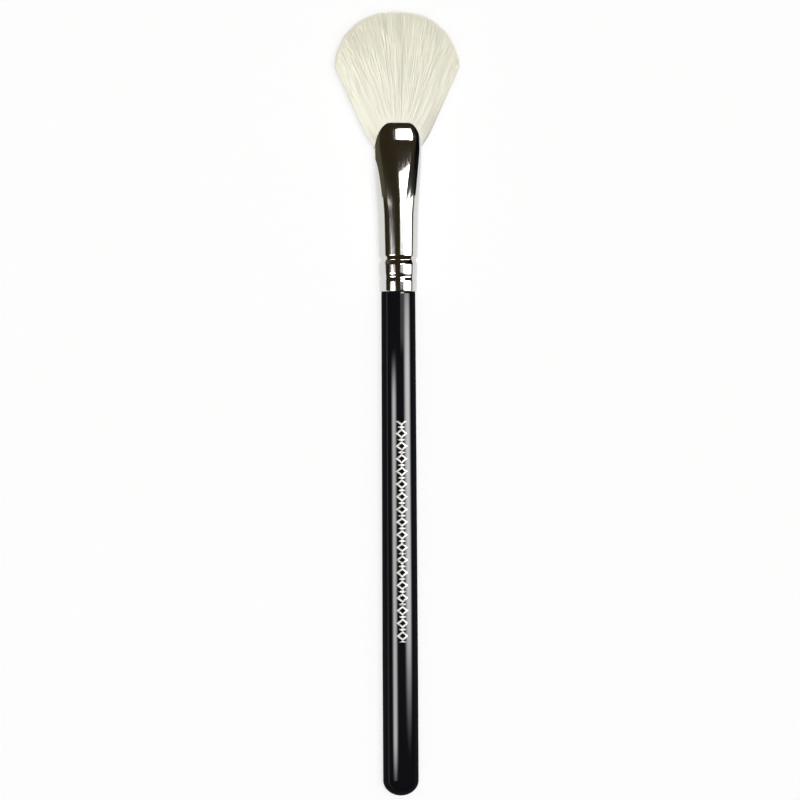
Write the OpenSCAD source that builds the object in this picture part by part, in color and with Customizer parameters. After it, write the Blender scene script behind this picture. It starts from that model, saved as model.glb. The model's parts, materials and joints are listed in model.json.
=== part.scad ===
// Fan makeup brush: a lacquered wooden handle, a pressed metal ferrule and a flat fan of soft hair.
// Each piece is built upright on the brush's own axis, with z = 0 where the handle meets the ferrule,
// x across the fan and y through its thickness. lay() then puts the brush down on its side, as it
// comes to rest, with the tuft towards +Y and the surface that it lies on at z = 0.

/* [Handle] */
// Length of the handle that shows, from the tip of its butt to the ferrule
handle_l = 117.6; // [90:0.1:150]
// Diameter of the straight barrel next to the butt
handle_d = 8.3; // [7.4:0.1:9.6]
// Length of the straight barrel
barrel_l = 28; // [12:1:60]
// Height of the domed butt
butt_h = 3.6; // [2:0.1:4.4]
// How far the neck stands out past the tenon, as a rounded shoulder
shoulder = 0.08; // [0.02:0.01:0.2]
// Length over which that shoulder rounds over
shoulder_l = 0.5; // [0.2:0.1:1]
// Length of the tenon inside the ferrule
tenon_l = 14; // [9:0.1:15.5]
// Chamfer on the nose of the tenon
tenon_chamfer = 1; // [0.3:0.1:1.5]

/* [Ferrule] */
// Overall length of the ferrule
ferrule_l = 39.3; // [36:0.1:46]
// Outside diameter of its round end
end_d = 8.7; // [8:0.1:9.4]
// How much wider than its round end the tube is at its belly, where it starts to flatten
belly_swell_w = 0.85; // [0.65:0.05:2.2]
// How much thicker than its round end the tube is at its belly
belly_swell_t = 0.6; // [0.3:0.05:1.2]
// Length of the belly, over which the tube keeps that thickness
belly_l = 2.6; // [1:0.1:4]
// Length of the round tube between the crimps and the belly
round_l = 9.6; // [7.5:0.1:11]
// Thickness of the metal
wall = 0.4; // [0.3:0.05:0.5]

/* [Crimps] */
// Length of the plain collar below the crimps
collar_l = 2.4; // [1.4:0.1:3.2]
// Width of the light crimp
light_crimp_w = 1.8; // [1:0.1:2.2]
// Depth of the light crimp
light_crimp_depth = 0.1; // [0.04:0.01:0.3]
// Length of the plain ring between the two crimps
ring_l = 2.2; // [1.2:0.1:3]
// Width of the deep crimp
deep_crimp_w = 1.9; // [1.2:0.1:2.4]
// Depth of the deep crimp
deep_crimp_depth = 0.36; // [0.15:0.01:0.5]

/* [Mouth] */
// Outside width of the flattened mouth
mouth_w = 11.6; // [10.6:0.1:13]
// Outside thickness of the flattened mouth
mouth_t = 6.2; // [5:0.1:7.5]
// Squareness of the mouth: 2 is an ellipse, and more is flatter
mouth_squareness = 2.8; // [2.1:0.1:3]
// Length of the parallel land at the mouth
land_l = 3.4; // [3:0.1:6]
// Where the pressed faces slope most, as a share of the way from the belly to the land
press_peak = 0.92; // [0.5:0.01:0.95]
// Width of the straight middle of the lip
lip_flat = 4.6; // [3:0.1:7]
// How far the lip drops from its middle to the sides, so that the hair can fan out
lip_drop = 6; // [3:0.1:6.5]
// Length over which the middle of the lip rolls in
lip_roll_l = 2.2; // [0.8:0.1:2.5]
// How far the lip rolls in
lip_roll = 0.35; // [0:0.05:0.4]

/* [Hair] */
// Length of hair past the middle of the lip
hair_out = 26.4; // [18:0.1:36]
// Width of the fan at its widest
fan_w = 29.8; // [22:0.1:38]
// Height of the widest point above the middle of the lip
fan_rise = 14; // [10:0.1:16]
// Roundness of the fan's edge: 2 is pointed, and more is squarer
fan_dome = 2.6; // [2:0.1:3.5]
// How far the outermost hairs bulge over the sides of the lip
side_bulge = 1; // [0:0.1:1.4]
// Thickness of the tuft half way along the free hair
fan_t = 6.8; // [5.5:0.1:9]
// Thickness of the tuft next to its tips
tip_t = 2.8; // [1.5:0.1:4]
// Depth of the grooves between the locks of hair
lock_depth = 0.25; // [0.1:0.05:0.4]
// How unevenly the locks end
lock_uneven = 0.4; // [0:0.1:1]

/* [Root] */
// Length of hair inside the ferrule, below the middle of the lip
hair_in = 16; // [13.5:0.1:17]
// Height of the resin that grips the root of the hair
resin_grip = 4.5; // [2:0.1:5]
// Thickness of the resin between the hair and the ferrule
resin_wall = 0.4; // [0.3:0.05:0.5]
// Thickness of the resin below the hair
resin_floor = 2; // [1:0.1:2.5]
// Diameter of the thread that ties the root of the hair
thread_d = 0.36; // [0.25:0.01:0.45]
// Number of turns of thread
thread_turns = 3; // [2:1:4]
// Gap that glue fills between any two pieces
glue_gap = 0.06; // [0.04:0.01:0.08]

/* [Hidden] */

// Points round the ferrule and round the tuft, whose locks are ridges with a groove between each two.
// They are even but no multiple of four, so that a flat facet faces the surface that the brush lies on.
ferrule_sides = 42;
hair_sides = 3 * ferrule_sides;
points_a_lock = 2;
locks = hair_sides / points_a_lock;
thread_sides = 6;
thread_steps = 28;

// Heights on the ferrule, from its round end up
light_crimp_z = collar_l + light_crimp_w / 2;
deep_crimp_z = collar_l + light_crimp_w + ring_l + deep_crimp_w / 2;
belly_z = deep_crimp_z + deep_crimp_w / 2 + round_l;
belly_top_z = belly_z + belly_l;
land_z = ferrule_l - land_l;
side_lip_z = ferrule_l - lip_drop;

// The lip's corner is an ellipse that stops a little short of upright, so the notch at each side is round.
// At the sides the lip rolls in less, and over twice the length.
lip_fullness = 0.96;
side_roll = 0.4;

// The root of the hair is drawn in by the thread and the resin that surround it
hair_gap = 2 * glue_gap;
root_inset = max(resin_wall, thread_d) + 2 * glue_gap;
root_z = ferrule_l - hair_in;
thread_z = root_z + resin_grip + glue_gap;
thread_pitch = 1.1 * thread_d;
root_top_z = thread_z + (thread_turns + 1) * thread_pitch;
neck_in_l = 2.5;

// A brush on its side touches the surface with its butt and with the belly of the ferrule, which is a
// little oval, so it comes to rest with the fan level
belly_w = end_d + belly_swell_w;
belly_t = end_d + belly_swell_t;
butt_z = butt_h - handle_l;
lay_tilt = atan((belly_t * cos(180 / ferrule_sides) - handle_d) / 2 / (belly_z - butt_z));
lay_height = handle_d / 2 * cos(lay_tilt) - butt_z * sin(lay_tilt);
lay_shift = (handle_l - ferrule_l - hair_out) / 2 * cos(lay_tilt);

function mix(a, b, f) = a + (b - a) * f;
function clamp(f) = min(max(f, 0), 1);
function smooth(f) = let (c = clamp(f)) c * c * (3 - 2 * c);
function signed_power(c, squareness) = sign(c) * pow(abs(c), 2 / squareness);

// How deep the crimps are at height z: the light one is a soft wave, and the deep one a plain V
function crimp_share(z, middle, width) = clamp(1 - abs(z - middle) / (width / 2));
function crimps(z) =
    light_crimp_depth * smooth(crimp_share(z, light_crimp_z, light_crimp_w))
    + deep_crimp_depth * crimp_share(z, deep_crimp_z, deep_crimp_w);

// The ferrule's section at height z: a circle that swells to the belly, and is then ever wider. Past the
// belly it is ever flatter too.
function swollen(z) = clamp(z / belly_z);
function pressed(z) = clamp((z - belly_z) / (land_z - belly_z));
function flattened(z) =
    let (f = clamp((z - belly_top_z) / (land_z - belly_top_z)))
    f < press_peak ? f * f / press_peak : 1 - pow(1 - f, 2) / (1 - press_peak);
function half_w(z) = (end_d + belly_swell_w * swollen(z) + (mouth_w - belly_w) * pressed(z)) / 2 - crimps(z);
function half_t(z) = (end_d + belly_swell_t * swollen(z) + (mouth_t - belly_t) * flattened(z)) / 2 - crimps(z);
function squareness(z) = mix(2, mouth_squareness, smooth(pressed(z)));

// The lip at angle a round the mouth: how far aside from its straight middle it is, its height, which
// drops to the sides, and how far its roll draws the metal in at height z
function aside(a) =
    let (x = abs(signed_power(cos(a), mouth_squareness)) * mouth_w / 2)
    clamp((x - lip_flat / 2) / (mouth_w / 2 - lip_flat / 2));
function corner(f) = (1 - sqrt(1 - lip_fullness * f * f)) / (1 - sqrt(1 - lip_fullness));
function lip_z(a) = ferrule_l - lip_drop * corner(aside(a));
function lip_inset(a, z) =
    let (roll_l = lip_roll_l * (1 + aside(a)))
    lip_roll * mix(1, side_roll, aside(a)) * pow(clamp(1 - (lip_z(a) - z) / roll_l), 2);

// A point at angle a and height z, set in from the outside of the ferrule
function section_point(a, z, inset) =
    let (deep = inset + lip_inset(a, z))
    [
        (half_w(z) - deep) * signed_power(cos(a), squareness(z)),
        (half_t(z) - deep) * signed_power(sin(a), squareness(z)),
        z
    ];

// Heights at which the ferrule's rings lie. The upper ones bend with the lip.
function crimp_levels(middle, width, steps) =
    [for (k = [-steps:steps]) middle + k * width / (2 * steps)];
light_crimp_steps = 3;
deep_crimp_steps = 1;
press_shares = [0, 0.2, 0.35, 0.47, 0.57, 0.66, 0.74, 0.81, 0.87, 0.91, 0.94, 0.97, 1];
lip_shares = [1, 0.72, 0.46, 0.22, 0];
levels = concat(
    [0],
    crimp_levels(light_crimp_z, light_crimp_w, light_crimp_steps),
    crimp_levels(deep_crimp_z, deep_crimp_w, deep_crimp_steps),
    [belly_z, mix(belly_z, belly_top_z, 0.5)],
    [for (f = press_shares) mix(belly_top_z, land_z, f)],
    [for (f = lip_shares) ferrule_l - f * lip_roll_l]
);
bend_z = ferrule_l - 2 * lip_drop;
function ring_z(level, a) =
    level <= bend_z ? level : mix(bend_z, lip_z(a), (level - bend_z) / (ferrule_l - bend_z));
function ferrule_ring(level, inset) =
    [for (j = [0:ferrule_sides - 1])
        let (a = 360 * j / ferrule_sides)
        section_point(a, ring_z(level, a), inset)];

// How far the hair keeps from the inside of the ferrule: most at its tied root, and least towards the lip
function hair_inset(z) =
    wall + mix(root_inset, hair_gap, smooth((z - root_top_z) / neck_in_l));

// All the free hairs point away from one apex inside the ferrule, and the outermost ones run in a
// straight line from where they bulge over the lip to the widest point of the fan
side_hair_x = section_point(0, side_lip_z, wall + hair_gap)[0];
fan_slope = (fan_w / 2 - side_hair_x - side_bulge) / (ferrule_l + fan_rise - side_lip_z);
apex_z = side_lip_z - (side_hair_x + side_bulge) / fan_slope;
top_reach = ferrule_l + hair_out - apex_z;
side_reach = norm([fan_w / 2, ferrule_l + fan_rise - apex_z]);
function reach(angle) = mix(top_reach, side_reach, pow(abs(angle) / atan(fan_slope), fan_dome));

// Each lock of hair has a length and a depth of its own
lock_lengths = rands(0, 1, locks, 7);
lock_depths = rands(0.4, 1, locks, 11);
function lock_of(j) = floor(j / points_a_lock) % locks;
function between_locks(j) = j % points_a_lock;
notch = 0.6;
function tip_point(j) =
    let (
        across = cos(360 * j / hair_sides),
        angle = atan(across * fan_slope),
        short = lock_uneven * (lock_lengths[lock_of(j)] + notch * between_locks(j)),
        r = reach(angle) - short
    )
    [r * sin(angle), 0, apex_z + r * cos(angle)];

// The free hair at a share f of its length: it bulges past the lip, thins towards the tips and rounds over
bulge_f = 0.14;
groove_f = 0.3;
tip_round = 0.1;
tip_left = 0.03;
function rounded_tip(f) = sqrt(1 - (1 - tip_left) * pow(clamp((f - 1 + tip_round) / tip_round), 2));
function hair_thickness(f, lip_half) =
    let (swell = fan_t / 2 - mix(mouth_t / 2 - wall - hair_gap, tip_t / 2, 0.5))
    (mix(lip_half, tip_t / 2, f) + swell * sin(180 * f)) * rounded_tip(f);
function free_hair_point(j, f) =
    let (
        a = 360 * j / hair_sides,
        start = section_point(a, lip_z(a), wall + hair_gap),
        straight = mix(start, tip_point(j), f),
        bulge = side_bulge * pow(cos(a), 3) * smooth(f / bulge_f) * (1 - f),
        part = signed_power(sin(a), mix(mouth_squareness, 2, f)),
        lip_half = mouth_t / 2 - lip_roll - wall - hair_gap,
        groove = lock_depth * lock_depths[lock_of(j)] * between_locks(j) * smooth(f / groove_f)
    )
    [
        straight[0] + bulge - groove * cos(a),
        part * hair_thickness(f, lip_half) - groove * sin(a) * rounded_tip(f),
        straight[2]
    ];

root_rings = 8;
free_rings = [0.03, 0.08, 0.16, 0.26, 0.36, 0.46, 0.56, 0.66, 0.76, 0.84, 0.9, 0.94, 0.97, 0.99, 1];
function held_hair_ring(k) =
    [for (j = [0:hair_sides - 1])
        let (a = 360 * j / hair_sides, z = mix(root_z, lip_z(a), k / root_rings))
        section_point(a, z, hair_inset(z))];
function free_hair_ring(f) = [for (j = [0:hair_sides - 1]) free_hair_point(j, f)];

// Faces between two rings of n points, and those that close a ring whose halves mirror each other
function band(n, low, high) =
    [for (j = [0:n - 1], half = [0, 1])
        let (next = (j + 1) % n)
        half == 0
            ? [low * n + j, high * n + j, high * n + next]
            : [low * n + j, high * n + next, low * n + next]];
function flip(face) = [face[0], face[2], face[1]];
function cap(n, ring, up) =
    let (
        first = ring * n,
        left = [for (j = [0:n / 2 - 2]) [first + j, first + j + 1, first + n - j - 1]],
        right = [for (j = [1:n / 2 - 1]) [first + j, first + n - j - 1, first + n - j]],
        all = concat(left, right)
    )
    up ? [for (face = all) flip(face)] : all;

// A solid through a list of rings: closed at both ends, or a shell whose last ring meets its first
module loft(rings, shell = false) {
    n = len(rings[0]);
    last = len(rings) - 1;
    sides = [for (k = [0:last - 1]) each band(n, k, k + 1)];
    ends = shell ? band(n, last, 0) : concat(cap(n, 0, false), cap(n, last, true));
    polyhedron(points = [for (ring = rings) each ring], faces = concat(sides, ends), convexity = 6);
}

module lay() {
    translate([0, lay_shift, lay_height])
        rotate([lay_tilt - 90, 0, 0])
            children();
}

// Turned in one piece: domed butt, straight barrel, long taper, and a tenon that the crimps bite into
function tenon_r(z) = min(end_d / 2, half_w(z), half_t(z)) - wall - glue_gap;
module handle() {
    butt = [for (a = [0:6:90]) [handle_d / 2 * sin(a), -handle_l + butt_h * (1 - cos(a))]];
    neck = [for (a = [0:15:75]) [tenon_r(0) + shoulder * cos(a), shoulder_l * (sin(a) - 1)]];
    crimped = [for (z = levels) if (z < belly_z && z < tenon_l - tenon_chamfer) [tenon_r(z), z]];
    nose = [
        [tenon_r(tenon_l - tenon_chamfer), tenon_l - tenon_chamfer],
        [tenon_r(tenon_l) - tenon_chamfer, tenon_l],
        [0, tenon_l]
    ];
    color([0.03, 0.03, 0.035])
        lay()
            rotate_extrude($fn = 96)
                polygon(concat(butt, [[handle_d / 2, butt_z + barrel_l]], neck, crimped, nose));
}

// Drawn from one tube of thin metal, crimped on to the tenon and pressed flat at the mouth
module ferrule() {
    outside = [for (level = levels) ferrule_ring(level, 0)];
    inside = [for (k = [len(levels) - 1:-1:0]) ferrule_ring(levels[k], wall)];
    color([0.66, 0.65, 0.63])
        lay()
            loft(concat(outside, inside), shell = true);
}

// The whole bundle of hair, from its tied root inside the ferrule to the feathered edge of the fan
module hair_tuft() {
    held = [for (k = [0:root_rings]) held_hair_ring(k)];
    free = [for (f = free_rings) free_hair_ring(f)];
    color([0.92, 0.9, 0.82])
        lay()
            loft(concat(held, free));
}

// Cast round the root of the hair: a floor below the hair, and a thin wall up its sides
function resin_ring(z, inset) =
    [for (j = [0:ferrule_sides - 1]) section_point(360 * j / ferrule_sides, z, wall + inset)];
module root_resin() {
    floor_z = root_z - glue_gap;
    bottom_z = floor_z - resin_floor;
    top_z = root_z + resin_grip;
    outside = [for (k = [0:4]) resin_ring(mix(bottom_z, top_z, k / 4), glue_gap)];
    inside = [for (k = [0:2]) resin_ring(mix(top_z, floor_z, k / 2), resin_wall)];
    color([0.83, 0.66, 0.36])
        lay()
            loft(concat(outside, inside));
}

// Wound round the root of the hair, just above the resin
function thread_route(k) =
    section_point(
        360 * k / thread_steps,
        thread_z + thread_d / 2 + thread_pitch * k / thread_steps,
        wall + glue_gap + thread_d / 2
    );
function thread_ring(k) =
    let (
        along = thread_route(k + 0.5) - thread_route(k - 0.5),
        ahead = along / norm(along),
        out = cross([0, 0, 1], ahead) / norm(cross([0, 0, 1], ahead)),
        up = cross(ahead, out)
    )
    [for (s = [0:thread_sides - 1])
        let (a = 360 * s / thread_sides)
        thread_route(k) + thread_d / 2 * (cos(a) * out + sin(a) * up)];
module binding_thread() {
    color([0.9, 0.88, 0.8])
        lay()
            loft([for (k = [0:thread_turns * thread_steps]) thread_ring(k)]);
}

handle();
ferrule();
hair_tuft();
root_resin();
binding_thread();
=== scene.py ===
import json
import math
import bpy
import numpy as np
from mathutils import Matrix, Vector


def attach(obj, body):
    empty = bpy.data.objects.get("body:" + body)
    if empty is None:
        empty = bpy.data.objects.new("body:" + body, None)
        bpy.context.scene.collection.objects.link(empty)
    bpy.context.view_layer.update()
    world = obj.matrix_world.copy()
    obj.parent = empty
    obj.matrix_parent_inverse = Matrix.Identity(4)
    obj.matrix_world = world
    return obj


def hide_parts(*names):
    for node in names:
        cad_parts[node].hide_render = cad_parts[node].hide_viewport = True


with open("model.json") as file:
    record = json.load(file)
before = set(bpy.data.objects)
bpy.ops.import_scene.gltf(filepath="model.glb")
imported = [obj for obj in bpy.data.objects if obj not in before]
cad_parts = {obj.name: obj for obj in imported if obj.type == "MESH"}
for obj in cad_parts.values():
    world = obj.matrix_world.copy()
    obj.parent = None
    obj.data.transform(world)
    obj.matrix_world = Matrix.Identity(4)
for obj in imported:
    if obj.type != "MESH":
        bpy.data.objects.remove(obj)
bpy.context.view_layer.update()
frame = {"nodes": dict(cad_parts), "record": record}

# Handle
# One piece of wood, turned to a long straight stick with a domed butt, dipped in black lacquer and
# polished. A tenon at its upper end sits in the ferrule, whose crimps bite into it.

# Every piece is made upright in millimetres, with z = 0 where the handle meets the ferrule and -y
# towards the eye, and is then laid down along the axis of the barrel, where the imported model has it.
barrel = frame["record"]["mounts"][0]
toward_tuft = -Vector(barrel["axis"])
barrel_middle_z = -100.0
shoulder_place = Vector(barrel["pos_m"]) - toward_tuft * barrel_middle_z / 1000
lay_tilt = math.atan2(toward_tuft.z, toward_tuft.y)
to_metres = Matrix.Scale(0.001, 4)
lay_down = Matrix.Translation(shoulder_place) @ Matrix.Rotation(lay_tilt - math.pi / 2, 4, "X") @ to_metres


def mix(a, b, f):
    return a + (b - a) * f


def laid(points):
    """Upright points in millimetres, as points in metres where the brush lies."""
    turn = np.array(lay_down.to_3x3())
    return np.asarray(points, float) @ turn.T + np.array(lay_down.translation)


def placed(name, data):
    """A new object in the scene."""
    made = bpy.data.objects.new(name, data)
    bpy.context.scene.collection.objects.link(made)
    return made


def skin(name, rings, closed=False):
    """A smooth mesh through rings of upright points, its ends closed or its last ring joined to its first."""
    count, around = rings.shape[:2]
    points = rings.reshape(-1, 3)
    steps = range(count if closed else count - 1)
    faces = [
        (k * around + j, k * around + (j + 1) % around,
         (k + 1) % count * around + (j + 1) % around, (k + 1) % count * around + j)
        for k in steps for j in range(around)
    ]
    if not closed:
        points = np.vstack([points, rings[0].mean(0), rings[-1].mean(0)])
        low, high, last = len(points) - 2, len(points) - 1, (count - 1) * around
        faces += [(low, (j + 1) % around, j) for j in range(around)]
        faces += [(high, last + j, last + (j + 1) % around) for j in range(around)]
    mesh = bpy.data.meshes.new(name)
    mesh.from_pydata(laid(points).tolist(), [], faces)
    mesh.shade_smooth()
    return placed(name, mesh)


handle_l, handle_r, barrel_l, butt_h = 117.6, 4.15, 28.0, 3.6
tenon_l, tenon_r, tenon_chamfer, shoulder, shoulder_l = 14.0, 3.89, 1.0, 0.08, 0.5
light_crimp_z, light_crimp_w, light_crimp_depth = 3.3, 1.8, 0.1
deep_crimp_z, deep_crimp_w, deep_crimp_depth = 7.35, 1.9, 0.36
crimp_room = 0.15
handle_sides = 160


def smooth(f):
    f = np.clip(f, 0, 1)
    return f * f * (3 - 2 * f)


def crimps(z):
    """How far the two crimps press the metal in at height z: the light one as a wave, the deep one as a V."""
    light = np.clip(1 - np.abs(z - light_crimp_z) / (light_crimp_w / 2), 0, 1)
    deep = np.clip(1 - np.abs(z - deep_crimp_z) / (deep_crimp_w / 2), 0, 1)
    return light_crimp_depth * smooth(light) + deep_crimp_depth * deep


butt = [(handle_r * math.sin(a), -handle_l + butt_h * (1 - math.cos(a)))
        for a in np.linspace(0.02, math.pi / 2, 40)]
straight = [(handle_r, butt_h - handle_l + barrel_l * f) for f in (0.01, 0.03, 0.1, 0.3, 0.6, 0.9)]
body = [(mix(handle_r, tenon_r + shoulder, f), mix(butt_h - handle_l + barrel_l, -shoulder_l, f))
        for f in np.linspace(0, 1, 24)]
neck = [(tenon_r + shoulder * math.cos(a), shoulder_l * (math.sin(a) - 1))
        for a in np.linspace(0.1, math.pi / 2, 8)]
tenon = [(tenon_r - max(0, float(crimps(z)) - crimp_room), z)
         for z in np.linspace(0.1, tenon_l - tenon_chamfer, 60)]
nose = [(tenon_r - tenon_chamfer, tenon_l)]
profile = np.array(butt + straight + body + neck + tenon + nose)
turns = np.linspace(0, 2 * math.pi, handle_sides, endpoint=False)
handle = skin("lacquered_handle", np.stack([
    profile[:, :1] * np.cos(turns), profile[:, :1] * np.sin(turns),
    np.repeat(profile[:, 1:], handle_sides, axis=1)], axis=2))


def material(name, **inputs):
    """A new material, its Principled shader with the plain values of its sockets, and its node tree."""
    made = bpy.data.materials.new(name)
    made.use_nodes = True
    shader = made.node_tree.nodes["Principled BSDF"]
    for key, value in inputs.items():
        shader.inputs[key.replace("_", " ")].default_value = value
    return made, shader, made.node_tree


def node(tree, kind, links=(), **settings):
    """A node in a tree. links are (socket, value or output) pairs."""
    made = tree.nodes.new(kind)
    for key, value in settings.items():
        setattr(made, key, value)
    for socket, value in links:
        if isinstance(value, bpy.types.NodeSocket):
            tree.links.new(value, made.inputs[socket])
        else:
            made.inputs[socket].default_value = value
    return made


def value_of(tree, operation, *values):
    return node(tree, "ShaderNodeMath", list(enumerate(values)), operation=operation).outputs[0]


def ramp(tree, value, start, end, first=0.0, last=1.0, kind="LINEAR"):
    """A value that goes from first to last as another goes from start to end, and is level beyond them."""
    return node(tree, "ShaderNodeMapRange", [
        ("Value", value), ("From Min", start), ("From Max", end), ("To Min", first), ("To Max", last)],
        interpolation_type=kind).outputs[0]


def colour_between(tree, factor, first, second):
    """A colour that goes from the first to the second as the factor goes from 0 to 1."""
    made = node(tree, "ShaderNodeMix", [("Factor", factor)], data_type="RGBA")
    made.inputs[6].default_value = first
    made.inputs[7].default_value = second
    return made.outputs[2]


def object_place(tree):
    return node(tree, "ShaderNodeTexCoord").outputs["Object"]


# Pale silver foil is stamped on the side of the handle that faces up: a row of open lozenges with a small
# solid one between each two. Its lengths are in metres, and each lozenge has half its width and length.
foil_low, foil_high, foil_pitch, foil_lowest_z, foil_blur = -0.0556, -0.0042, 0.00294, 0.0045, 0.06
lozenge = {"open": (0.0014, 0.00112), "hole": (0.0008, 0.00064), "solid": (0.0009, 0.00034)}
lacquer_black, foil_silver = (0.004, 0.004, 0.006, 1), (0.7, 0.69, 0.67, 1)

lacquer, shader, tree = material("black_lacquer", Roughness=0.4, Specular_IOR_Level=0.0,
                                 Coat_Roughness=0.02, Coat_IOR=1.5)
place = object_place(tree)
spot = node(tree, "ShaderNodeSeparateXYZ", [("Vector", place)]).outputs


def within(name, shift):
    """1 inside one lozenge of each pitch, and 0 outside it."""
    across, along = lozenge[name]
    turn = value_of(tree, "DIVIDE", value_of(tree, "SUBTRACT", spot["Y"], foil_low), foil_pitch)
    turn = value_of(tree, "FRACT", value_of(tree, "ADD", value_of(tree, "FRACT", turn), shift))
    near = value_of(tree, "MULTIPLY", value_of(tree, "SUBTRACT", turn, 0.5), foil_pitch)
    near = value_of(tree, "DIVIDE", value_of(tree, "ABSOLUTE", near), along)
    beside = value_of(tree, "DIVIDE", value_of(tree, "ABSOLUTE", spot["X"]), across)
    return ramp(tree, value_of(tree, "ADD", beside, near), 1 - foil_blur, 1 + foil_blur, 1.0, 0.0)


foil = value_of(tree, "SUBTRACT", within("open", 0.0), within("hole", 0.0))
foil = value_of(tree, "MAXIMUM", foil, within("solid", 0.5))
foil = value_of(tree, "MULTIPLY", foil, value_of(tree, "GREATER_THAN", spot["Y"], foil_low))
foil = value_of(tree, "MULTIPLY", foil, value_of(tree, "LESS_THAN", spot["Y"], foil_high))
foil = value_of(tree, "MULTIPLY", foil, value_of(tree, "GREATER_THAN", spot["Z"], foil_lowest_z))
wear = node(tree, "ShaderNodeTexNoise", [("Vector", place), ("Scale", 3000.0), ("Detail", 3.0)])
foil = value_of(tree, "MULTIPLY", foil, ramp(tree, wear.outputs["Fac"], 0.3, 0.45))
tree.links.new(colour_between(tree, foil, lacquer_black, foil_silver), shader.inputs["Base Color"])
tree.links.new(value_of(tree, "MULTIPLY", foil, 0.5), shader.inputs["Metallic"])

# The clear coat shines where it faces the eye and hardly at its edges, and the foil has none
facing = node(tree, "ShaderNodeLayerWeight", [("Blend", 0.5)]).outputs["Facing"]
gloss = ramp(tree, facing, 0.2, 0.32, 1.0, 0.05)
gloss = value_of(tree, "MULTIPLY", gloss, value_of(tree, "SUBTRACT", 1.0, foil))
tree.links.new(gloss, shader.inputs["Coat Weight"])
peel = node(tree, "ShaderNodeTexNoise", [("Vector", place), ("Scale", 420.0), ("Detail", 2.0)])
bump = node(tree, "ShaderNodeBump", [
    ("Height", peel.outputs["Fac"]), ("Strength", 0.04), ("Distance", 0.0003)])
tree.links.new(bump.outputs["Normal"], shader.inputs["Normal"])
handle.data.materials.append(lacquer)
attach(handle, "root")
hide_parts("handle")

# Ferrule
# A tube of thin plated brass, crimped on to the tenon by two rolled grooves and pressed flat at its
# mouth, where its lip is cut down at both sides so that the hair can fan out.
ferrule_l, wall = 39.3, 0.4
end_d, belly_w, belly_t, belly_z, belly_l = 8.7, 9.55, 9.3, 17.9, 2.6
mouth_w, mouth_t, mouth_squareness, land_l, press_peak = 11.6, 6.2, 2.8, 3.4, 0.92
lip_flat, lip_drop, lip_roll_l, lip_roll, side_roll, lip_fullness = 4.6, 6.0, 2.2, 0.35, 0.4, 0.96
land_z = ferrule_l - land_l
bend_z = ferrule_l - 2 * lip_drop
ferrule_sides = 192
rim_r = wall / 2


def power(c, squareness):
    return np.sign(c) * np.abs(c) ** (2 / squareness)


def pressed(z):
    return np.clip((z - belly_z) / (land_z - belly_z), 0, 1)


def flattened(z):
    f = np.clip((z - belly_z - belly_l) / (land_z - belly_z - belly_l), 0, 1)
    return np.where(f < press_peak, f * f / press_peak, 1 - (1 - f) ** 2 / (1 - press_peak))


def half_w(z):
    swollen = np.clip(z / belly_z, 0, 1)
    return (end_d + (belly_w - end_d) * swollen + (mouth_w - belly_w) * pressed(z)) / 2 - crimps(z)


def half_t(z):
    swollen = np.clip(z / belly_z, 0, 1)
    return (end_d + (belly_t - end_d) * swollen + (mouth_t - belly_t) * flattened(z)) / 2 - crimps(z)


def squareness(z):
    return mix(2, mouth_squareness, smooth(pressed(z)))


def corner(f):
    return (1 - np.sqrt(1 - lip_fullness * f * f)) / (1 - math.sqrt(1 - lip_fullness))


def aside(x):
    return np.clip((np.abs(x) - lip_flat / 2) / (mouth_w / 2 - lip_flat / 2), 0, 1)


def lip_z(x):
    """Height of the lip at x: straight across its middle, and dropping to the sides."""
    return ferrule_l - lip_drop * corner(aside(x))


def section(a, z, inset):
    """Upright points at angles a and heights z, set in from the outside of the ferrule."""
    x = power(np.cos(a), mouth_squareness) * mouth_w / 2
    roll_l = lip_roll_l * (1 + aside(x))
    roll = lip_roll * mix(1, side_roll, aside(x))
    deep = inset + roll * np.clip(1 - (lip_z(x) - z) / roll_l, 0, 1) ** 2
    return np.stack([(half_w(z) - deep) * power(np.cos(a), squareness(z)),
                     (half_t(z) - deep) * power(np.sin(a), squareness(z)), z], axis=-1)


around = np.linspace(0, 2 * math.pi, ferrule_sides, endpoint=False)
lip_around = lip_z(power(np.cos(around), mouth_squareness) * mouth_w / 2)


def ferrule_ring(level, inset):
    """A ring round the ferrule. The upper rings bend with the lip."""
    f = max(0.0, (level - bend_z) / (ferrule_l - bend_z))
    z = np.where(level <= bend_z, level, bend_z + (lip_around - bend_z) * f)
    return section(around, z, inset)


levels = np.concatenate([
    np.linspace(rim_r, 9.0, 70), np.linspace(9.3, belly_z, 8),
    np.linspace(belly_z, land_z, 40)[1:], np.linspace(land_z, ferrule_l - rim_r, 16)[1:]])
rim = np.linspace(0, math.pi, 7)[1:-1]
outside = [ferrule_ring(level, 0) for level in levels]
upper_rim = [ferrule_ring(ferrule_l - rim_r + rim_r * math.sin(a), rim_r - rim_r * math.cos(a)) for a in rim]
inside = [ferrule_ring(level, wall) for level in levels[::-1]]
lower_rim = [ferrule_ring(rim_r - rim_r * math.sin(a), rim_r + rim_r * math.cos(a)) for a in rim]
ferrule = skin("pressed_ferrule", np.array(outside + upper_rim + inside + lower_rim), closed=True)

plated, shader, tree = material("plated_metal", Base_Color=(0.68, 0.67, 0.65, 1), Metallic=1.0,
                                Roughness=0.07)
drawn = node(tree, "ShaderNodeMapping", [("Vector", object_place(tree)), ("Scale", (4000.0, 60.0, 4000.0))])
marks = node(tree, "ShaderNodeTexNoise", [
    ("Vector", drawn.outputs["Vector"]), ("Scale", 1.0), ("Detail", 3.0)])
tree.links.new(ramp(tree, marks.outputs["Fac"], 0.3, 0.7, 0.05, 0.1), shader.inputs["Roughness"])
ferrule.data.materials.append(plated)
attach(ferrule, "root")
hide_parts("ferrule")

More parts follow.
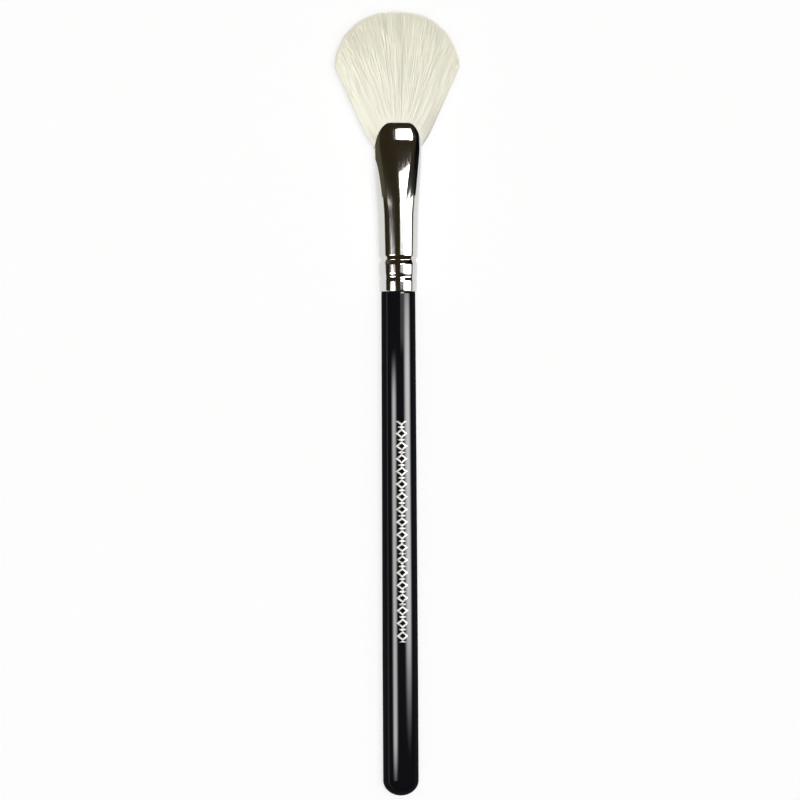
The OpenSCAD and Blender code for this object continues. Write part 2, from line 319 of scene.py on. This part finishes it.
# Root resin
# Amber resin, poured round the root of the hair inside the ferrule, where it holds the tuft. Its shape
# is the CAD model's own.
resin, shader, tree = material("amber_resin", Base_Color=(0.65, 0.4, 0.11, 1), Roughness=0.2, Coat_Weight=0.4)
cloud = node(tree, "ShaderNodeTexNoise", [("Vector", object_place(tree)), ("Scale", 500.0), ("Detail", 4.0)])
amber = colour_between(tree, cloud.outputs["Fac"], (0.5, 0.27, 0.06, 1), (0.78, 0.52, 0.17, 1))
tree.links.new(amber, shader.inputs["Base Color"])
frame["nodes"]["root_resin"].data.materials.clear()
frame["nodes"]["root_resin"].data.materials.append(resin)

# Binding thread
# Three turns of twisted cotton round the root of the hair, just above the resin. Their shape is the CAD
# model's own.
cotton, shader, tree = material("cotton_thread", Base_Color=(0.79, 0.75, 0.6, 1), Roughness=0.9,
                                Sheen_Weight=0.2)
twist = node(tree, "ShaderNodeTexWave", [
    ("Vector", object_place(tree)), ("Scale", 1400.0), ("Distortion", 1.0)], bands_direction="DIAGONAL")
bump = node(tree, "ShaderNodeBump", [
    ("Height", twist.outputs["Fac"]), ("Strength", 0.6), ("Distance", 0.00005)])
tree.links.new(bump.outputs["Normal"], shader.inputs["Normal"])
frame["nodes"]["binding_thread"].data.materials.clear()
frame["nodes"]["binding_thread"].data.materials.append(cotton)

# Hair
# Soft cream-white hair, laid in one thick bundle, tied at its root and shaped by hand to a fan whose
# edge is left uncut, so every hair ends in its own natural fine tip. Two dense sheets are its faces,
# and the two halves of its core lie between them.
hair_out, hair_in = 26.4, 16.0
fan_w, fan_rise, fan_dome, side_bulge = 29.8, 14.0, 2.6, 1.0
fan_t, tip_t, hair_gap, root_inset, root_lift, root_pinch = 6.8, 2.8, 0.12, 0.52, 0.3, 0.16
hair_d, hairs_in_layer, points_on_hair, hair_profile = 0.1, 3500, 10, 3
side_crowding, feather, tip_margin, side_lean = 0.9, 1.7, 0.1, 0.5
held_share, point_spacing, bulge_start = 2 / 9, 1.3, 0.14
root_z = ferrule_l - hair_in
side_lip_z = ferrule_l - lip_drop
side_hair_x = float(half_w(side_lip_z)) - lip_roll * side_roll - wall - hair_gap
fan_slope = (fan_w / 2 - side_hair_x - side_bulge) / (ferrule_l + fan_rise - side_lip_z)
apex_z = side_lip_z - (side_hair_x + side_bulge) / fan_slope
top_reach = ferrule_l + hair_out - apex_z
side_reach = math.hypot(fan_w / 2, ferrule_l + fan_rise - apex_z)
lip_half_t = mouth_t / 2 - lip_roll - wall - hair_gap

# Whole multiples of these two shares fill a square evenly, so the roots leave no gap and no crowd
even_across, even_deep = 0.7548776662, 0.5698402910


def fan_thickness(f):
    """Half the thickness of the tuft at a share f of its free length."""
    swell = fan_t / 2 - mix(lip_half_t, tip_t / 2, 0.5)
    return mix(lip_half_t, tip_t / 2, f) + swell * np.sin(math.pi * f)


def hair_layer(name, low, high, seed):
    """The anchor points of one layer of hair, between two depths of the tuft, as a mesh with attributes."""
    rng = np.random.default_rng(seed)
    number = np.arange(hairs_in_layer) + rng.uniform()
    u = 2 * (number * even_across % 1) - 1
    u = np.sign(u) * np.abs(u) ** side_crowding
    depth = mix(low, high, number * even_deep % 1)
    edge = (1 - np.abs(u) ** mouth_squareness) ** (1 / mouth_squareness)
    root_edge = np.sqrt(1 - u ** 2)
    inset = wall + root_inset + hair_d / 2
    one = np.ones_like(u)
    root = np.stack([u * (half_w(root_z * one) - inset), depth * root_edge * (half_t(root_z * one) - inset),
                     root_z + root_lift * one], axis=1)
    lip = np.stack([u * (side_hair_x - hair_d / 2), depth * edge * (lip_half_t - hair_d / 2),
                    lip_z(u * mouth_w / 2)], axis=1)
    angle = np.arctan(u * fan_slope)
    reach = mix(top_reach, side_reach, np.abs(angle / math.atan(fan_slope)) ** fan_dome)
    reach = reach - tip_margin - feather * np.sqrt(rng.uniform(0, 1, len(u)))
    tip = np.stack([reach * np.sin(angle), depth * root_edge * tip_t / 2,
                    apex_z + reach * np.cos(angle)], axis=1)
    half = mix(lip, tip, 0.5)
    half[:, 1] = depth * mix(edge, root_edge, 0.5) * fan_thickness(0.5)
    middle = 2 * half - mix(lip, tip, 0.5)
    pinch = root_pinch * (lip - root) * (1, 1, 0)
    bulge = np.stack([side_bulge * u ** 3, 0 * u, 0 * u], axis=1)
    outward = np.stack([side_lean * u * np.abs(depth), np.sign(depth) * np.sqrt(np.abs(depth)),
                        0 * u], axis=1)
    turn = np.array(lay_down.to_3x3())
    mesh = bpy.data.meshes.new(name)
    mesh.from_pydata(laid(root).tolist(), [], [])
    for word, vectors in (("rise", lip - root), ("pinch", pinch), ("bulge", bulge),
                          ("swell", middle - lip), ("reach", tip - lip), ("outward", outward)):
        attribute = mesh.attributes.new(word, "FLOAT_VECTOR", "POINT")
        attribute.data.foreach_set("vector", (vectors @ turn.T).ravel())
    return placed(name, mesh)


def hair_tree(finish):
    """A tree that grows a tapered hair from each anchor point: straight in the ferrule, then fanning out."""
    tree = bpy.data.node_groups.new("hair_growth", "GeometryNodeTree")
    sockets = {}
    for name, kind, direction in (
            ("Geometry", "NodeSocketGeometry", "INPUT"), ("Hair Diameter", "NodeSocketFloat", "INPUT"),
            ("Points on a Hair", "NodeSocketInt", "INPUT"), ("Sides", "NodeSocketInt", "INPUT"),
            ("Held Share", "NodeSocketFloat", "INPUT"), ("Tip Width", "NodeSocketFloat", "INPUT"),
            ("Locks per Metre", "NodeSocketFloat", "INPUT"), ("Lock Drift", "NodeSocketFloat", "INPUT"),
            ("Stray", "NodeSocketFloat", "INPUT"), ("Seed", "NodeSocketInt", "INPUT"),
            ("Geometry", "NodeSocketGeometry", "OUTPUT")):
        sockets[name] = tree.interface.new_socket(name, in_out=direction, socket_type=kind)
    given = node(tree, "NodeGroupInput").outputs

    def vector_of(operation, *values):
        return node(tree, "ShaderNodeVectorMath", list(enumerate(values)), operation=operation).outputs[0]

    def times(vector, amount):
        return node(tree, "ShaderNodeVectorMath", [(0, vector), (3, amount)], operation="SCALE").outputs[0]

    def named(word, kind="FLOAT_VECTOR"):
        return node(tree, "GeometryNodeInputNamedAttribute", [("Name", word)], data_type=kind).outputs[0]

    def stored(geometry, word, value, domain="INSTANCE", kind="FLOAT_VECTOR"):
        made = node(tree, "GeometryNodeStoreNamedAttribute", [
            ("Geometry", geometry), ("Name", word), ("Value", value)], domain=domain, data_type=kind)
        return made.outputs[0]

    # A line on each anchor remembers its tone, its stray and its root
    anchors = node(tree, "GeometryNodeMeshToPoints", [("Mesh", given["Geometry"])]).outputs[0]
    line = node(tree, "GeometryNodeCurvePrimitiveLine", [("End", (0, 0, 0.001))]).outputs[0]
    line = node(tree, "GeometryNodeResampleCurve", [("Curve", line), ("Count", given["Points on a Hair"])])
    grown = node(tree, "GeometryNodeInstanceOnPoints", [("Points", anchors), ("Instance", line.outputs[0])])
    tone = node(tree, "FunctionNodeRandomValue", [("Seed", given["Seed"])]).outputs[1]
    grown = stored(grown.outputs[0], "tone", tone, kind="FLOAT")
    stray = node(tree, "FunctionNodeRandomValue", data_type="FLOAT_VECTOR")
    stray.inputs[0].default_value = (-1, -1, -1)
    tree.links.new(value_of(tree, "ADD", given["Seed"], 50), stray.inputs["Seed"])
    grown = stored(grown, "stray", stray.outputs[0])
    grown = stored(grown, "root", node(tree, "GeometryNodeInputPosition").outputs[0])
    grown = node(tree, "GeometryNodeRealizeInstances", [("Geometry", grown)]).outputs[0]

    # Its points move to their places: up to the held share inside the ferrule, and beyond it in the fan
    factor = node(tree, "GeometryNodeSplineParameter").outputs["Factor"]
    held = ramp(tree, factor, 0.0, given["Held Share"])
    free = value_of(tree, "POWER", ramp(tree, factor, given["Held Share"], 1.0), point_spacing)
    grown = stored(grown, "along", free, domain="POINT", kind="FLOAT")
    left = value_of(tree, "SUBTRACT", 1.0, free)
    pinching = value_of(tree, "MULTIPLY", held, value_of(tree, "SUBTRACT", 1.0, held))
    pinching = value_of(tree, "MULTIPLY", pinching, 4.0)
    swelling = value_of(tree, "MULTIPLY", value_of(tree, "MULTIPLY", free, left), 2.0)
    bulging = value_of(tree, "MULTIPLY", ramp(tree, free, 0.0, bulge_start, kind="SMOOTHSTEP"), left)
    reaching = value_of(tree, "MULTIPLY", free, free)
    lock_place = times(vector_of("ADD", named("root"), named("rise")), given["Locks per Metre"])
    noise = node(tree, "ShaderNodeTexNoise", [("Vector", lock_place), ("Scale", 1.0), ("Detail", 1.0)])
    drift = vector_of("SUBTRACT", noise.outputs["Color"], (0.5, 0.5, 0.5))
    wander = vector_of("ADD", times(drift, given["Lock Drift"]), times(named("stray"), given["Stray"]))
    place = named("root")
    for word, amount in (("rise", held), ("pinch", pinching), ("swell", swelling), ("bulge", bulging),
                         ("reach", reaching)):
        place = vector_of("ADD", place, times(named(word), amount))
    place = vector_of("ADD", place, times(wander, reaching))
    grown = node(tree, "GeometryNodeSetPosition", [("Geometry", grown), ("Position", place)]).outputs[0]

    # The lines become closed tubes that taper over their outer half
    width = ramp(tree, named("along", "FLOAT"), 0.5, 1.0, 1.0, given["Tip Width"])
    half = value_of(tree, "MULTIPLY", given["Hair Diameter"], 0.5)
    circle = node(tree, "GeometryNodeCurvePrimitiveCircle", [
        ("Resolution", given["Sides"]), ("Radius", half)])
    grown = node(tree, "GeometryNodeCurveToMesh", [
        ("Curve", grown), ("Profile Curve", circle.outputs[0]), ("Scale", width), ("Fill Caps", True)])
    grown = node(tree, "GeometryNodeSetShadeSmooth", [("Geometry", grown.outputs[0])]).outputs[0]
    grown = node(tree, "GeometryNodeRealizeInstances", [("Geometry", grown)]).outputs[0]
    grown = node(tree, "GeometryNodeSetMaterial", [("Geometry", grown), ("Material", finish)]).outputs[0]
    node(tree, "NodeGroupOutput", [("Geometry", grown)])
    return tree, {name: socket.identifier for name, socket in sockets.items()}


# The cream grows paler towards the tips. This is painted light that offsets the shade among the sparse tips,
# added on top of a random tone for each hair. The root cream is the hair's own colour.
root_cream, painted_light_tip_cream, tone_share, own_share = (0.81, 0.79, 0.7, 1), (1.0, 0.985, 0.86, 1), 0.1, 0.15
cream, shader, tree = material("cream_hair", Roughness=0.7, Specular_IOR_Level=0.2)
tone = node(tree, "ShaderNodeAttribute", attribute_name="tone").outputs["Fac"]
along = node(tree, "ShaderNodeAttribute", attribute_name="along").outputs["Fac"]
along = value_of(tree, "MULTIPLY", along, 1 - tone_share)
tone_and_painted_tip_light = value_of(tree, "ADD", value_of(tree, "MULTIPLY", tone, tone_share), along)
tree.links.new(colour_between(tree, tone_and_painted_tip_light, root_cream, painted_light_tip_cream), shader.inputs["Base Color"])

# A soft bundle scatters light as one rounded mass, so each hair's normal leans out of the tuft
outward = node(tree, "ShaderNodeAttribute", attribute_name="outward").outputs["Vector"]
own = node(tree, "ShaderNodeNewGeometry").outputs["Normal"]
own = node(tree, "ShaderNodeVectorMath", [(0, own), (1, (own_share,) * 3)], operation="MULTIPLY").outputs[0]
lean = node(tree, "ShaderNodeVectorMath", [(0, own), (1, outward)], operation="ADD").outputs[0]
lean = node(tree, "ShaderNodeVectorMath", [(0, lean)], operation="NORMALIZE").outputs[0]
tree.links.new(lean, shader.inputs["Normal"])

growth, inputs = hair_tree(cream)
for name, low, high, seed in (("hair_upper", -1.0, -0.8, 3), ("hair_upper_core", -0.8, 0.0, 5),
                              ("hair_lower_core", 0.0, 0.8, 6), ("hair_lower", 0.8, 1.0, 8)):
    anchors = hair_layer(name + "_roots", low, high, seed)
    grow = anchors.modifiers.new("growth", "NODES")
    grow.node_group = growth
    for word, value in (("Hair Diameter", hair_d / 1000), ("Points on a Hair", points_on_hair),
                        ("Sides", hair_profile), ("Held Share", held_share), ("Tip Width", 0.6),
                        ("Locks per Metre", 900.0), ("Lock Drift", 0.00015), ("Stray", 0.0002),
                        ("Seed", seed)):
        grow[inputs[word]] = value
    ready = anchors.evaluated_get(bpy.context.evaluated_depsgraph_get())
    mesh = bpy.data.meshes.new_from_object(ready)
    mesh.name = name
    bpy.data.objects.remove(anchors)
    layer = placed(name, mesh)
    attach(layer, "root")
    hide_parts("hair_tuft")

# Floor, light and camera
# A plain white floor, four bright panels that only polished surfaces reflect, two soft lights for all the
# rest, two cards beside the ferrule's mouth that only reflections see, painted reflections that darken its
# sides, a studio that is dark above the horizon and white below it, and a camera that looks down on the
# brush from a little to its left.
floor_half, floor_glow = 4.0, 0.7
paper, shader, tree = material("white_floor", Base_Color=(0.86, 0.86, 0.86, 1), Roughness=1.0,
                               Specular_IOR_Level=0.0)
# Part of the floor's white is a glow that only the camera, reflections and clear pieces see
ray = node(tree, "ShaderNodeLightPath").outputs
seen = value_of(tree, "MAXIMUM", ray["Is Glossy Ray"], ray["Is Transmission Ray"])
seen = value_of(tree, "MAXIMUM", ray["Is Camera Ray"], seen)
white = node(tree, "ShaderNodeEmission", [("Color", (1, 1, 1, 1)), ("Strength", 1.0)])
blend = node(tree, "ShaderNodeMixShader", [
    (0, value_of(tree, "MULTIPLY", seen, floor_glow)), (1, shader.outputs[0]), (2, white.outputs[0])])
tree.links.new(blend.outputs[0], tree.nodes["Material Output"].inputs["Surface"])
mesh = bpy.data.meshes.new("floor")
mesh.from_pydata([(-floor_half, -floor_half, 0), (floor_half, -floor_half, 0),
                  (floor_half, floor_half, 0), (-floor_half, floor_half, 0)], [], [(0, 1, 2, 3)])
floor = placed("floor", mesh)
floor.data.materials.append(paper)


def softbox(name, angles, stretch, radiance, distance=1.2, reflected=True, soft_x=0.4, soft_y=0.4):
    """An area lamp that spans two angles from the upright, positive towards +X, and a stretch of Y.
    It is a bright panel that only polished surfaces reflect, or else a soft light for all the rest.
    Its glow fades over a share of its half width and of its half length."""
    middle, spread = math.radians(sum(angles)) / 2, math.radians(angles[1] - angles[0]) / 2
    lamp = bpy.data.lights.new(name, "AREA")
    lamp.shape = "RECTANGLE"
    lamp.size = 2 * distance * math.tan(spread)
    lamp.size_y = stretch[1] - stretch[0]
    lamp.energy = radiance * math.pi * lamp.size * lamp.size_y
    holder = placed(name, lamp)
    holder.location = (distance * math.sin(middle), sum(stretch) / 2, distance * math.cos(middle))
    holder.rotation_euler = (0, middle, 0)
    holder.visible_diffuse = not reflected
    holder.visible_glossy = reflected
    lamp.use_nodes = True
    tree = lamp.node_tree
    spot = node(tree, "ShaderNodeNewGeometry").outputs["Parametric"]
    spot = node(tree, "ShaderNodeSeparateXYZ", [("Vector", spot)]).outputs
    glow = 1.0
    for axis, soft in (("X", soft_x), ("Y", soft_y)):
        off = value_of(tree, "SUBTRACT", value_of(tree, "MULTIPLY", spot[axis], 2.0), 1.0)
        fade = ramp(tree, value_of(tree, "ABSOLUTE", off), 1 - soft, 1.0, 1.0, 0.0, kind="SMOOTHSTEP")
        glow = value_of(tree, "MULTIPLY", glow, fade)
    tree.links.new(glow, tree.nodes["Emission"].inputs["Strength"])


softbox("panel_right", (21, 81), (-0.22, 0.125), 12.5, soft_x=0.85, soft_y=0.655)
softbox("panel_edge", (3, 28), (0.022, 0.12), 1.1, soft_x=0.3, soft_y=0.3)
softbox("panel_beyond", (6, 33), (0.07, 0.38), 12.5, soft_x=0.3, soft_y=0.15)
softbox("panel_left", (-63, -21), (-0.24, 0.0285), 10.5, soft_x=0.9, soft_y=0.25)
softbox("soft_light", (-45, 45), (-1.2, 1.2), 0.72, distance=1.4, reflected=False)
softbox("front_light", (-17, 10), (-0.6, 0.6), 17.0, distance=2.4, reflected=False)

# The cards are painted reflections. Only reflections see them, and they make the polished sides of the
# mouth look dark. There is a black one on the right, and on the left one that glows a dim olive, which
# reaches in over the floor and fades upwards. Each corner has its distance to the side, its height, and
# the Y where the card starts there.
dark_air, painted_reflection_olive = (0.033, 0.024, 0.0125, 1), (0.105, 0.094, 0.057, 1)
painted_reflection_black = (0.002, 0.002, 0.002, 1)
card_x, card_foot, card_top, card_end, card_fade_z = 0.06, 0.0003, 0.05, 0.13, 0.018
left_corners = ((0.0085, card_foot, 0.057), (card_x, card_foot, 0.046), (card_x, card_top, 0.046))
right_corners = ((card_x, card_foot, 0.048), (card_x, card_top, 0.048))
for name, side, foot_colour, top_colour, corners in (
        ("card_left", -1, painted_reflection_olive, dark_air, left_corners),
        ("card_right", 1, painted_reflection_black, painted_reflection_black, right_corners)):
    # Each card glows its own set colour, a painted reflection for the polished sides of the mouth.
    matt, shader, tree = material(name, Base_Color=(0, 0, 0, 1), Roughness=1.0, Specular_IOR_Level=0.0,
                                  Emission_Strength=1.0)
    height = node(tree, "ShaderNodeSeparateXYZ", [("Vector", object_place(tree))]).outputs["Z"]
    fade = ramp(tree, height, card_fade_z, card_top, kind="SMOOTHSTEP")
    tree.links.new(colour_between(tree, fade, foot_colour, top_colour), shader.inputs["Emission Color"])
    mesh = bpy.data.meshes.new(name)
    mesh.from_pydata([(side * x, y, z) for x, z, start_y in corners for y in (start_y, card_end)], [],
                     [(2 * k, 2 * k + 2, 2 * k + 3, 2 * k + 1) for k in range(len(corners) - 1)])
    card = placed(name, mesh)
    card.data.materials.append(matt)
    card.visible_camera = card.visible_diffuse = card.visible_shadow = card.visible_transmission = False

horizon_fade, warm_white = 0.05, (1, 0.99, 0.97, 1)
world = bpy.data.worlds.new("studio")
world.use_nodes = True
bpy.context.scene.world = world
tree = world.node_tree
way = node(tree, "ShaderNodeTexCoord").outputs["Generated"]
height = node(tree, "ShaderNodeSeparateXYZ", [("Vector", way)]).outputs["Z"]
air = colour_between(tree, ramp(tree, height, 0.0, horizon_fade, 1.0, 0.0), dark_air, warm_white)
tree.links.new(air, tree.nodes["Background"].inputs["Color"])

eye_roll, eye_lean, eye_distance = math.radians(8.5), math.radians(0.343), 0.778
looked_at = Vector((0.00025, 0.00068, 0.0046))
camera = placed("camera", bpy.data.cameras.new("camera"))
camera.data.lens = 150
camera.data.clip_start = 0.01
view = Matrix.Rotation(-eye_roll, 4, "Y") @ Matrix.Rotation(-eye_lean, 4, "Z")
camera.matrix_world = Matrix.Translation(looked_at) @ view @ Matrix.Translation((0, 0, eye_distance))
bpy.context.scene.camera = camera
bpy.context.scene.view_settings.view_transform = "Standard"
